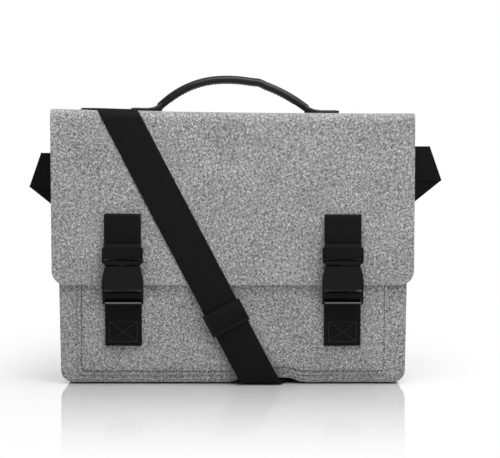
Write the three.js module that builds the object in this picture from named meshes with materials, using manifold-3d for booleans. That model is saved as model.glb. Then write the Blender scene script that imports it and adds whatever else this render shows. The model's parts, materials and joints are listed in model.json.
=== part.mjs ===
// A felt messenger bag with a folded-over flap, two side-release buckles, a
// leather carry handle and a webbing shoulder strap wrapped round the bag.
// Millimetres, +Z up, +X to the bag's left-hand side as it is seen from the
// front, -Y towards the front. The origin is the middle of the footprint.
import * as THREE from "three";
import { mergeVertices } from "three/addons/utils/BufferGeometryUtils.js";
import Module from "manifold-3d";

const wasm = await Module();
wasm.setup();

// ---------------------------------------------------------------- sizes
const gap = 0.3; // between pieces that touch
const weld = 0.001; // corners closer than this are one

// The body
const bodyWidth = 371; // outside, at the top
const bodyTaper = 4; // each side, from the top down to the floor
const bodyDepth = 80; // outside faces of the front and back panels
const bodyHeight = 283.2; // back panel and gussets
const frontDrop = 20; // the front panel stops this far below the back panel
const panelFelt = 4;
const panelCorner = 15;
const cornerSteps = 6;

// The underside lifts in a leaning channel where the shoulder strap passes
const liftMargin = 3; // flat roof beyond each edge of the strap
const liftClear = 0.9; // above the strap
const liftRamp = 15; // each side of the channel
const liftSteps = 4;

// Front slip pocket, laptop divider and base board
const pocketMargin = 21.5; // from each side of the body
const pocketOver = 43.5; // it ends this far above the flap's lower edge
const pocketBottom = 9.5;
const pocketFelt = 2.7;
const pocketCorner = 8;
const dividerFelt = 3;
const dividerPlace = 9.5; // its front face, behind the middle of the bag
const dividerDrop = 47.5; // its top below the top of the bag
const dividerMargin = 4; // clear of each gusset
const boardThick = 2.5;
const boardMargin = 8; // at its ends
const boardSide = 1; // at its front and back

// The flap: a top strip and a front panel, one sheet of felt
const flapOverhang = 4.5; // each side of the body
const flapFelt = 4.2;
const flapShare = 0.6257; // of the bag's height that it covers
const flapCorner = 15;
const flapFold = 9; // outside radius of the fold at the front
const flapHeel = 3.6; // rounding of the strip's rear edge

// Webbing
const webWidth = 38;
const webThick = 1.6;
const returnThick = 1.5; // the doubled layer below the slider

// Shoulder strap route: from the left tab it goes over the top, crosses the
// front at one lean and runs under the bag and up behind it to the right tab
const strapPastHandle = 12.23; // how far its inner edge laps the handle's tab in front
const strapStartIn = 16.15; // its middle, inside the left edge of the body
const strapEndOut = 2.79; // and beyond the right edge
const strapBackRadius = 5;
const strapFootRadius = 6;
const strapHeelRadius = 3;
const strapFloor = 0.3; // clearance underneath it
const strapHinge = 3; // left clear on each side of the flap's hinge
const strapJoin = 20; // the front stretch ends this far below the slider's middle
const strapEndLap = 30; // how far its ends lie over the side tabs
const arcSteps = 6;

// Side tabs, sewn on the back panel
const tabDrop = 36.2; // their top edge below the top of the body
const tabHeight = 56;
const tabLap = 33.5; // inside the edge of the body
const tabTip = [[20.5, 0], [26.5, 3], [40.5, 37.5], [35.5, 44]]; // [beyond it, below their top]
const tabRise = 4; // the right one sits higher and the left one lower by this

// Buckles, with their heights measured up from the flap's lower edge
const closureClear = 10.8; // between the left closure and the strap
const buckleMargin = 2.5; // wider than the webbing, each side
const plugTop = 40;
const plugStand = 1.8; // off the webbing behind it
const plugFrame = 15.5;
const plugThick = 5;
const plugShoulder = 3;
const plugNeckIn = 3.8; // each side, below the shoulders
const plugBar = 8.2; // the bar that the upper webbing is sewn round
const slotHeight = 4.6;
const tongueWidth = 8;
const tongueLength = 19;
const socketTop = 21;
const socketLength = 24;
const socketThick = 11;
const socketWall = 1.8;
const socketWindow = 1.3; // the sides are open from here to the mouth
const socketMouthIn = 3.8; // narrower at the mouth, each side
const socketFlare = 16; // height of the flare
const socketEnd = -19.7;
const endRim = 1.2; // between the box and the first slot
const crossBar = 3;
const endThick = 5;
const armRootIn = 11.3; // inside the buckle's edge
const armThick = 2.6;
const armDepth = 6;
const padIn = 0.4; // inside the buckle's edge
const padTop = 14.4;
const padFoot = 4.4;
const padSlope = 3;
const barbFoot = 0.6;
const barbWidth = 5.4;

// Closure webbing, from the flap's lower edge
const upperPatchTop = 75;
const lowerPatchFoot = -64.4;

// Handle: an arch of rolled leather between two flat tabs
const handleShare = 0.213; // half its span, of the body's width
const handleRise = 29.9;
const gripThick = 8.8;
const gripSides = 12;
const handleSteps = 20;
const tabClear = 0.75; // from the end of the arch
const tabLength = 25.6;
const tabWidth = 20;
const tabThick = 2.4;
const tabPoint = 9; // length of the tapered tip
const tabNose = 3.3; // half width at its end
const knuckleHeight = 8.2; // the tab's raised root beside the arch
const knuckleLength = 9;
const knuckleFlat = 3;

// Slider on the shoulder strap
const sliderMargin = 2.5; // wider than the webbing, each side
const sliderLength = 25;
const sliderThick = 3.4;
const sliderRail = 2.2;
const sliderBar = 3.4;
const sliderDrop = 34; // its middle, below the flap's lower edge

// ---------------------------------------------------------------- derived
const degree = Math.PI / 180;
const side = bodyWidth / 2;
const half = bodyDepth / 2;
const inside = half - panelFelt;
const pocketFace = -half - gap - pocketFelt;
const flapInner = pocketFace - gap;
const flapFace = flapInner - flapFelt;
const stripUnder = bodyHeight + gap;
const flapTop = stripUnder + flapFelt;
const strapFront = flapFace - gap;
const strapTop = flapTop + gap;
const strapBack = half + gap + returnThick + gap;
const strapBottom = strapFloor + webThick;
const liftHeight = strapBottom + gap + returnThick + liftClear;
const flapEdge = bodyHeight * (1 - flapShare);
const flapHalf = side + flapOverhang;
const pocketHalf = side - pocketMargin;
const sliderHeight = flapEdge - sliderDrop;
const tabTop = bodyHeight - tabDrop;
const tabLow = tabTop - tabHeight;
const webFace = strapFront - webThick; // outside of webbing that lies on the flap
const handleSpan = handleShare * bodyWidth;
const handleSlope = Math.atan((2 * handleRise) / handleSpan); // at its feet
const tabStart = handleSpan + (gripThick / 2) * Math.sin(handleSlope) + tabClear;
const tabEnd = tabStart + tabLength;

// ---------------------------------------------------------------- strap route
// The strap runs round the bag's cross-section: up behind it, over the top,
// down the front, below and up behind again. These are the corners [y, z] of
// that way, each with the radius it turns at.
const strapWay = [
  [strapBack, tabTop - tabRise - strapEndLap],
  [strapBack, strapTop, strapBackRadius],
  [strapFront, strapTop, flapFold],
  [strapFront, strapBottom, strapFootRadius],
  [strapBack, strapBottom, strapHeelRadius],
  [strapBack, tabTop + tabRise - strapEndLap],
];

// Stations along the way: the distance so far, the place and the outward angle
const strapStations = [];
const strapMarks = [];
let strapSoFar = 0;
for (const [corner, [y, z, radius = 0]] of strapWay.entries()) {
  const from = 90 * (corner - 1);
  const [outY, outZ] = [Math.cos(from * degree), Math.sin(from * degree)];
  const centre = [y - radius * (outY - outZ), z - radius * (outZ + outY)];
  const [backY, backZ] = corner ? strapStations.at(-1).place : [y, z];
  const first = [centre[0] + radius * outY, centre[1] + radius * outZ];
  strapSoFar += Math.hypot(first[0] - backY, first[1] - backZ);
  strapMarks.push(strapSoFar);
  for (let i = 0; i <= (radius ? arcSteps : 0); i++) {
    const angle = (from + (90 * i) / arcSteps) * degree;
    const place = [centre[0] + radius * Math.cos(angle), centre[1] + radius * Math.sin(angle)];
    const along = strapSoFar + (radius * 90 * degree * i) / arcSteps;
    strapStations.push({ along, place, angle });
  }
  strapSoFar = strapStations.at(-1).along;
  if (radius) strapMarks.push(strapSoFar);
}
const [strapStart, backTurn, topStart, , frontStart, , underStart, , behindStart, strapEnd] =
  strapMarks;

// Its lean, from where it starts to the front and from there to its end
const strapFrontX = strapPastHandle - tabEnd - webWidth / 2;
const strapTopLean = Math.atan((strapFrontX + side - strapStartIn) / (frontStart - strapStart));
const strapLean = Math.atan((side + strapEndOut - strapFrontX) / (strapEnd - frontStart));

// Its middle across the bag, and half its width there
const leanAt = (along) => (along < frontStart ? strapTopLean : strapLean);
const strapMiddle = (along) => strapFrontX + (along - frontStart) * Math.tan(leanAt(along));
const strapReach = (along) => webWidth / 2 / Math.cos(leanAt(along));
const onFront = (z) => frontStart + strapTop - flapFold - z;
const onBack = (z) => behindStart + z - strapBottom - strapHeelRadius;
const strapUnderX = (y) => strapMiddle(underStart + y - strapFront - strapFootRadius);

function stationAt(along) {
  const next = strapStations.findIndex((p) => p.along >= along - weld);
  const b = strapStations[next];
  const a = strapStations[Math.max(next - 1, 0)];
  const t = b.along > a.along ? (along - a.along) / (b.along - a.along) : 0;
  const mix = (from, to) => from + (to - from) * t;
  return {
    along,
    place: [mix(a.place[0], b.place[0]), mix(a.place[1], b.place[1])],
    angle: b.angle === a.angle || t === 1 ? b.angle : mix(a.angle, b.angle),
  };
}

// ---------------------------------------------------------------- materials
const finish = (color, roughness, metalness = 0) =>
  new THREE.MeshStandardMaterial({ color, roughness, metalness });
const felt = finish(0x9b9b9b, 0.95);
const lining = finish(0x8c8c8c, 0.95);
const webbing = finish(0x1b1b1b, 0.75);
const plastic = finish(0x161616, 0.35);
const leather = finish(0x141414, 0.4);
const board = finish(0x2a2a2a, 0.6);

const bag = new THREE.Group();

function add(name, geometry, material, parent = bag) {
  const mesh = new THREE.Mesh(geometry, material);
  mesh.name = name;
  parent.add(mesh);
  return mesh;
}

// ---------------------------------------------------------------- solids
// An outline is a list of [a, b] points, and a THREE.Shape is used as it is.
const shapeOf = (outline) =>
  outline.isShape
    ? outline
    : new THREE.Shape(outline.map(([a, b]) => new THREE.Vector2(a, b)));

const extruded = (outline, depth) =>
  new THREE.ExtrudeGeometry(shapeOf(outline), {
    depth,
    bevelEnabled: false,
    curveSegments: cornerSteps,
  });

// (x, z) outline, from y0 back to y1
function slabY(outline, y0, y1) {
  const g = extruded(outline, y1 - y0);
  g.rotateX(Math.PI / 2);
  return g.translate(0, y1, 0);
}

// (y, z) outline, from x0 to x1
function slabX(outline, x0, x1) {
  const g = extruded(outline, x1 - x0);
  const turn = new THREE.Matrix4().makeBasis(
    new THREE.Vector3(0, 1, 0),
    new THREE.Vector3(0, 0, 1),
    new THREE.Vector3(1, 0, 0),
  );
  return g.applyMatrix4(turn).translate(x0, 0, 0);
}

// (x, y) outline, from z0 up to z1
const slabZ = (outline, z0, z1) => extruded(outline, z1 - z0).translate(0, 0, z0);

function block(x0, x1, y0, y1, z0, z1) {
  const g = new THREE.BoxGeometry(x1 - x0, y1 - y0, z1 - z0);
  return g.translate((x0 + x1) / 2, (y0 + y1) / 2, (z0 + z1) / 2);
}

function solid(geometry) {
  const g = geometry.clone();
  g.deleteAttribute("normal");
  g.deleteAttribute("uv");
  const merged = mergeVertices(g, weld);
  return new wasm.Manifold(
    new wasm.Mesh({
      numProp: 3,
      vertProperties: new Float32Array(merged.attributes.position.array),
      triVerts: new Uint32Array(merged.index.array),
    }),
  );
}

function geometryOf(made) {
  const m = made.getMesh();
  const g = new THREE.BufferGeometry();
  g.setAttribute("position", new THREE.BufferAttribute(m.vertProperties, 3));
  g.setIndex(new THREE.BufferAttribute(m.triVerts, 1));
  g.computeVertexNormals();
  return g;
}

const cut = (body, ...tools) =>
  geometryOf(tools.reduce((s, t) => s.subtract(solid(t)), solid(body)));
const join = (...bodies) =>
  geometryOf(bodies.slice(1).reduce((s, b) => s.add(solid(b)), solid(bodies[0])));

// Points of a quarter turn about (a, b), from one angle to another in degrees
function arc(a, b, radius, from, to, steps = cornerSteps) {
  return Array.from({ length: steps + 1 }, (_, i) => {
    const t = (from + ((to - from) * i) / steps) * degree;
    return [a + radius * Math.cos(t), b + radius * Math.sin(t)];
  });
}

// ---------------------------------------------------------------- the body
const sideAt = (z) => side - bodyTaper * (1 - z / bodyHeight);

// The underside's profile from left to right about the strap's middle: it
// lifts by a cosine ramp, runs flat over the strap and comes down again.
const liftHalf = webWidth / 2 / Math.cos(strapLean) + liftMargin;
function underside(middle, raise = 0) {
  const ramp = (from, to, up) =>
    Array.from({ length: liftSteps + 1 }, (_, i) => {
      const t = i / liftSteps;
      const rise = (1 - Math.cos(Math.PI * (up ? t : 1 - t))) / 2;
      return [from + (to - from) * t, raise + liftHeight * rise];
    });
  const left = middle - liftHalf;
  const right = middle + liftHalf;
  return [...ramp(left - liftRamp, left, true), ...ramp(right, right + liftRamp, false)];
}

// One lower corner of the body, as an arc at a given inset from the outside
const cornerMiddle = sideAt(0) - panelCorner;
const lowerCorner = (hand, inset) =>
  arc(cornerMiddle, panelCorner, panelCorner - inset, 0, -90).map(([x, z]) => [hand * x, z]);

function panelOutline(top, y) {
  return [
    [-sideAt(top), top],
    ...lowerCorner(-1, 0),
    ...underside(strapUnderX(y)),
    ...lowerCorner(1, 0).reverse(),
    [sideAt(top), top],
  ];
}

function gusset(hand) {
  const outline = [
    [hand * side, bodyHeight],
    ...lowerCorner(hand, 0),
    ...lowerCorner(hand, panelFelt).reverse(),
    [hand * (side - panelFelt), bodyHeight],
  ];
  return slabY(outline, -inside + gap, inside - gap);
}

// Its channel follows the strap: an outline leant across the bag, trimmed to
// the room between the panels
function basePanel() {
  const end = cornerMiddle - gap;
  const depth = inside - gap;
  const spare = 60; // the leant outline runs past the trim
  const outline = [
    [-end - spare, 0],
    ...underside(strapUnderX(0)),
    [end + spare, 0],
    [end + spare, panelFelt],
    ...underside(strapUnderX(0), panelFelt).reverse(),
    [-end - spare, panelFelt],
  ];
  const lean = new THREE.Matrix4().makeShear(0, 0, Math.tan(strapLean), 0, 0, 0);
  const sheet = solid(slabY(outline, -depth, depth).applyMatrix4(lean));
  const room = block(-end, end, -depth, depth, 0, panelFelt + liftHeight);
  return geometryOf(sheet.intersect(solid(room)));
}

const boardFoot = panelFelt + liftHeight + gap;
const dividerHalf = sideAt(boardFoot) - panelFelt - dividerMargin;

function pocketOutline() {
  const w = pocketHalf;
  const r = pocketCorner;
  const foot = pocketBottom + r;
  return [
    [-w, flapEdge + pocketOver],
    ...arc(-w + r, foot, r, 180, 270),
    ...arc(w - r, foot, r, 270, 360),
    [w, flapEdge + pocketOver],
  ];
}

add("back_panel", slabY(panelOutline(bodyHeight, half), inside, half), felt);
add("front_panel", slabY(panelOutline(bodyHeight - frontDrop, -half), -half, -inside), felt);
add("gusset_left", gusset(-1), felt);
add("gusset_right", gusset(1), felt);
add("base_panel", basePanel(), felt);
add("front_pocket", slabY(pocketOutline(), pocketFace, -half - gap), felt);
add(
  "base_board",
  block(
    -cornerMiddle + boardMargin,
    cornerMiddle - boardMargin,
    -inside + boardSide,
    inside - boardSide,
    boardFoot,
    boardFoot + boardThick,
  ),
  board,
);
const dividerFoot = boardFoot + boardThick + gap;
add(
  "laptop_divider",
  block(
    -dividerHalf,
    dividerHalf,
    dividerPlace,
    dividerPlace + dividerFelt,
    dividerFoot,
    bodyHeight - dividerDrop,
  ),
  lining,
);

// ---------------------------------------------------------------- the flap
function flapSheet() {
  const inner = flapFold - flapFelt;
  const profile = [
    ...arc(half - flapHeel, flapTop - flapHeel, flapHeel, 0, 90, 3),
    ...arc(flapFace + flapFold, flapTop - flapFold, flapFold, 90, 180),
    [flapFace, flapEdge],
    [flapInner, flapEdge],
    ...arc(flapFace + flapFold, flapTop - flapFold, inner, 180, 90),
    [half, stripUnder],
  ];
  const w = flapHalf;
  const r = flapCorner;
  const over = 5; // the trimming outline stands proud of the sheet
  const trim = [
    [-w, flapTop + over],
    ...arc(-w + r, flapEdge + r, r, 180, 270),
    ...arc(w - r, flapEdge + r, r, 270, 360),
    [w, flapTop + over],
  ];
  const sheet = solid(slabX(profile, -w - over, w + over));
  return geometryOf(sheet.intersect(solid(slabY(trim, flapFace - over, half + over))));
}
add("flap", flapSheet(), felt);

// ---------------------------------------------------------------- shoulder strap
// One loft for bands and rods: rings of as many points each, closed at both ends
function loft(rings) {
  const count = rings[0].length;
  const places = rings.flat(2);
  const faces = [];
  const last = count * (rings.length - 1);
  for (let k = 1; k < count - 1; k++) {
    faces.push(0, k, k + 1, last, last + k + 1, last + k);
  }
  for (let r = 0; r < last; r += count) {
    for (let k = 0; k < count; k++) {
      const next = (k + 1) % count;
      faces.push(r + k, r + count + k, r + count + next);
      faces.push(r + k, r + count + next, r + next);
    }
  }
  const g = new THREE.BufferGeometry();
  g.setAttribute("position", new THREE.Float32BufferAttribute(places, 3));
  g.setIndex(faces);
  return g;
}

// A stretch of the strap, between two offsets outwards from its way
function band(from, to, low, high) {
  const within = strapStations.filter((p) => p.along > from + gap && p.along < to - gap);
  const rings = [stationAt(from), ...within, stationAt(to)].map(({ along, place, angle }) =>
    [[1, low], [-1, low], [-1, high], [1, high]].map(([hand, off]) => [
      strapMiddle(along) + hand * strapReach(along),
      place[0] + off * Math.cos(angle),
      place[1] + off * Math.sin(angle),
    ]),
  );
  return loft(rings);
}

const joinAt = onFront(sliderHeight - strapJoin);
const strapParts = {
  strap_behind_left: [strapStart, backTurn - strapHinge],
  strap_over_flap: [topStart + strapHinge, joinAt - gap / 2],
  strap_under_bag: [joinAt + gap / 2, strapEnd],
};
for (const [name, [from, to]] of Object.entries(strapParts)) {
  add(name, band(from, to, 0, webThick), webbing);
}
add(
  "strap_return",
  band(joinAt + gap / 2, onBack(tabLow + tabRise - gap), -gap - returnThick, -gap),
  webbing,
);

// ---------------------------------------------------------------- side tabs
// Webbing sewn into the back seam and folded over, as one plate with a tip
for (const [name, hand] of [["side_tab_left", -1], ["side_tab_right", 1]]) {
  const outline = [
    [side - tabLap, tabTop],
    ...tabTip.map(([beyond, below]) => [side + beyond, tabTop - below]),
    [sideAt(tabLow) + flapFelt, tabLow],
    [side - tabLap, tabLow],
  ].map(([x, z]) => [hand * x, z + hand * tabRise]);
  add(name, slabY(outline, half + gap, half + gap + returnThick), webbing);
}

// ---------------------------------------------------------------- slider
// A three-bar glide. Its own axes: x across the strap, z along it, and the
// strap's outside face at y = 0.
const sliderBack = -gap;
const sliderFront = sliderBack - sliderThick;
const sliderMiddleBar = sliderBar / 2;

function sliderFrame() {
  const across = webWidth / 2 + sliderMargin;
  const along = sliderLength / 2;
  const slot = (end) =>
    block(
      -across + sliderRail,
      across - sliderRail,
      sliderFront - gap,
      sliderBack + gap,
      ...[end * sliderMiddleBar, end * (along - sliderBar)].sort((a, b) => a - b),
    );
  const frame = block(-across, across, sliderFront, sliderBack, -along, along);
  return cut(frame, slot(1), slot(-1));
}

// The sewn end of the strap, bent over the slider's middle bar
function sliderLoop() {
  const bar = sliderMiddleBar + gap;
  const leg = bar + webThick;
  const over = sliderFront - gap;
  const top = over - webThick;
  const outline = [
    [top + webThick / 2, -leg],
    [sliderBack, -leg],
    [sliderBack, -bar],
    [over, -bar],
    [over, bar],
    [sliderBack, bar],
    [sliderBack, leg],
    [top + webThick / 2, leg],
    [top, bar],
    [top, -bar],
  ];
  const reach = webWidth / 2 - gap;
  return slabX(outline, -reach, reach);
}

const slider = new THREE.Group();
slider.position.set(strapMiddle(onFront(sliderHeight)), webFace, sliderHeight);
slider.rotation.y = -strapLean;
add("slider_frame", sliderFrame(), plastic, slider);
add("slider_loop", sliderLoop(), webbing, slider);
bag.add(slider);

// ---------------------------------------------------------------- buckles
// All are made about x = 0 with z = 0 at the flap's lower edge, and placed by a
// group at each side.
const buckleX =
  strapReach(strapEnd) + closureClear + webWidth / 2 - strapMiddle(onFront(flapEdge + upperPatchTop));
const buckleHalf = webWidth / 2 + buckleMargin;
const plugNeck = buckleHalf - plugNeckIn;
const plugNeckFoot = plugTop - plugFrame - plugShoulder;
const plugBack = webFace - plugStand;
const plugFront = plugBack - plugThick;
const padOut = buckleHalf - padIn;
const armRoot = buckleHalf - armRootIn;
const socketMouth = buckleHalf - socketMouthIn;
const socketBack = strapFront;
const socketFront = socketBack - socketThick;
const upperSlotTop = socketTop - socketLength - endRim;
const lowerSlotTop = upperSlotTop - slotHeight - crossBar;
const slotHalf = webWidth / 2 + gap;
const slotBlock = (front, back, top, foot = top - slotHeight) =>
  block(-slotHalf, slotHalf, front - gap, back + gap, foot, top);

// The plug: a frame with a slot for the webbing, shoulders and a tongue
function plug() {
  const frameFoot = plugTop - plugFrame;
  const tongue = tongueWidth / 2;
  const right = [
    [tongue, plugNeckFoot - tongueLength],
    [tongue, plugNeckFoot],
    [plugNeck, plugNeckFoot],
    [buckleHalf, frameFoot],
    [buckleHalf, plugTop],
  ];
  const outline = [...right, ...right.map(([x, z]) => [-x, z]).reverse()];
  const body = slabY(outline, plugFront, plugBack);
  return cut(body, slotBlock(plugFront, plugBack, plugTop - plugBar));
}

// A release arm: a leg that leaves the shoulders, a pad for the finger and a
// barb at its end
function arm(hand) {
  const root = plugNeckFoot - gap;
  const middle = (plugFront + plugBack) / 2;
  const outline = [
    [armRoot, root],
    [armRoot + armThick, root],
    [padOut - padSlope, padTop],
    [padOut, padTop - padSlope],
    [padOut, padFoot],
    [padOut - padSlope, barbFoot],
    [padOut - barbWidth, barbFoot],
    [padOut - barbWidth - gap, padTop - padSlope],
  ].map(([x, z]) => [hand * x, z]);
  return slabY(outline, middle - armDepth / 2, middle + armDepth / 2);
}

// The socket: a box open at its mouth and beside the release arms, and an end
// frame with a cross bar for the webbing
function socket() {
  const foot = socketTop - socketLength;
  const front = socketFront + socketWall;
  const back = socketBack - socketWall;
  const spare = 5; // the cutting blocks run past the box
  const swell = (buckleHalf - socketMouth) / 2;
  const flare = [
    [socketMouth + swell, socketTop - socketFlare / 3],
    [buckleHalf, socketTop - socketFlare],
  ];
  const outline = [
    [-socketMouth, socketTop],
    ...flare.map(([x, z]) => [-x, z]),
    [-buckleHalf, foot],
    [buckleHalf, foot],
    ...flare.toReversed(),
    [socketMouth, socketTop],
  ];
  const shell = slabY(outline, socketFront, socketBack);
  const room = buckleHalf - socketWall;
  const roomFoot = foot + socketWall;
  const wide = buckleHalf + spare;
  const inner = block(-room, room, front, back, roomFoot, socketTop + spare);
  const sides = block(-wide, wide, front, back, socketWindow, socketTop + spare);
  const endBack = socketBack - gap;
  const endFront = endBack - endThick;
  const end = block(-buckleHalf, buckleHalf, endFront, endBack, socketEnd, foot);
  return cut(
    join(shell, end),
    inner,
    sides,
    slotBlock(endFront, endBack, upperSlotTop),
    slotBlock(endFront, endBack, lowerSlotTop),
  );
}

// ---------------------------------------------------------------- closure webbing
// Profiles (y, z). The upper one is sewn on the flap and looped round the
// plug's bar; the lower one is sewn on the pocket and bent over the cross bar.
function upperWebbing() {
  const loopFront = plugFront - gap - webThick;
  const loopFoot = plugTop - plugBar - gap - webThick;
  const loopTop = plugTop + gap + webThick;
  const outline = [
    [strapFront, upperPatchTop],
    [webFace, upperPatchTop],
    [webFace, loopTop],
    [loopFront + webThick / 2, loopTop],
    [loopFront, loopTop - webThick / 2],
    [loopFront, loopFoot + webThick / 2],
    [loopFront + webThick / 2, loopFoot],
    [strapFront, loopFoot],
  ];
  const hole = block(
    -webWidth,
    webWidth,
    plugFront - gap,
    webFace,
    loopFoot + webThick,
    loopTop - webThick,
  );
  return cut(slabX(outline, -webWidth / 2, webWidth / 2), hole);
}

function lowerWebbing() {
  const back = pocketFace - gap;
  const face = back - webThick;
  const endBack = socketBack - gap;
  const front = endBack - endThick - gap - webThick;
  const barTop = upperSlotTop - slotHeight;
  const barFoot = lowerSlotTop;
  const outline = [
    [back, lowerPatchFoot],
    [back, barTop + gap + webThick],
    [front, barTop + gap + webThick],
    [front, barFoot - gap - webThick],
    [endBack + gap, barFoot - gap - webThick],
    [endBack + gap, barFoot - gap],
    [front + webThick, barFoot - gap],
    [front + webThick, barTop + gap],
    [face, barTop + gap],
    [face, lowerPatchFoot],
  ];
  return slabX(outline, -webWidth / 2, webWidth / 2);
}

for (const [name, hand] of [["left", -1], ["right", 1]]) {
  const place = new THREE.Group();
  place.position.set(hand * buckleX, 0, flapEdge);
  add(`plug_${name}`, plug(), plastic, place);
  add(`socket_${name}`, socket(), plastic, place);
  add(`release_arm_${name}_inner`, arm(-hand), plastic, place);
  add(`release_arm_${name}_outer`, arm(hand), plastic, place);
  add(`upper_webbing_${name}`, upperWebbing(), webbing, place);
  add(`lower_webbing_${name}`, lowerWebbing(), webbing, place);
  bag.add(place);
}

// ---------------------------------------------------------------- handle
const handleAxis = strapTop + gap + gripThick / 2; // it tips about this height

function handleArch() {
  const rings = Array.from({ length: handleSteps + 1 }, (_, i) => {
    const t = 1 - (2 * i) / handleSteps;
    const slope = Math.atan2(-2 * t * handleRise, handleSpan);
    const middle = [t * handleSpan, handleAxis + handleRise * (1 - t * t)];
    return Array.from({ length: gripSides }, (_, k) => {
      const a = (2 * Math.PI * k) / gripSides;
      const across = (Math.cos(a) * gripThick) / 2;
      const up = (Math.sin(a) * gripThick) / 2;
      return [middle[0] - up * Math.sin(slope), across, middle[1] + up * Math.cos(slope)];
    });
  });
  return loft(rings);
}
add("handle_grip", handleArch(), leather);

// Flat tabs with a tapered tip, raised at the root beside the arch
function handleTab(hand) {
  const w = tabWidth / 2;
  const plate = [
    [tabStart, -w],
    [tabEnd - tabPoint, -w],
    [tabEnd, -tabNose],
    [tabEnd, tabNose],
    [tabEnd - tabPoint, w],
    [tabStart, w],
  ].map(([x, y]) => [hand * x, y]);
  const root = [
    [tabStart, strapTop],
    [tabStart, strapTop + knuckleHeight],
    [tabStart + knuckleFlat, strapTop + knuckleHeight],
    [tabStart + knuckleLength, strapTop + tabThick],
    [tabStart + knuckleLength, strapTop],
  ].map(([x, z]) => [hand * x, z]);
  return join(
    slabZ(plate, strapTop, strapTop + tabThick),
    slabY(root, -gripThick / 2, gripThick / 2),
  );
}
add("handle_tab_left", handleTab(-1), leather);
add("handle_tab_right", handleTab(1), leather);

export default bag;
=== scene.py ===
# A felt messenger bag with a folded flap, two side-release buckles, a rolled
# leather handle and a webbing shoulder strap wrapped once round it.
import json
import math

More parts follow.
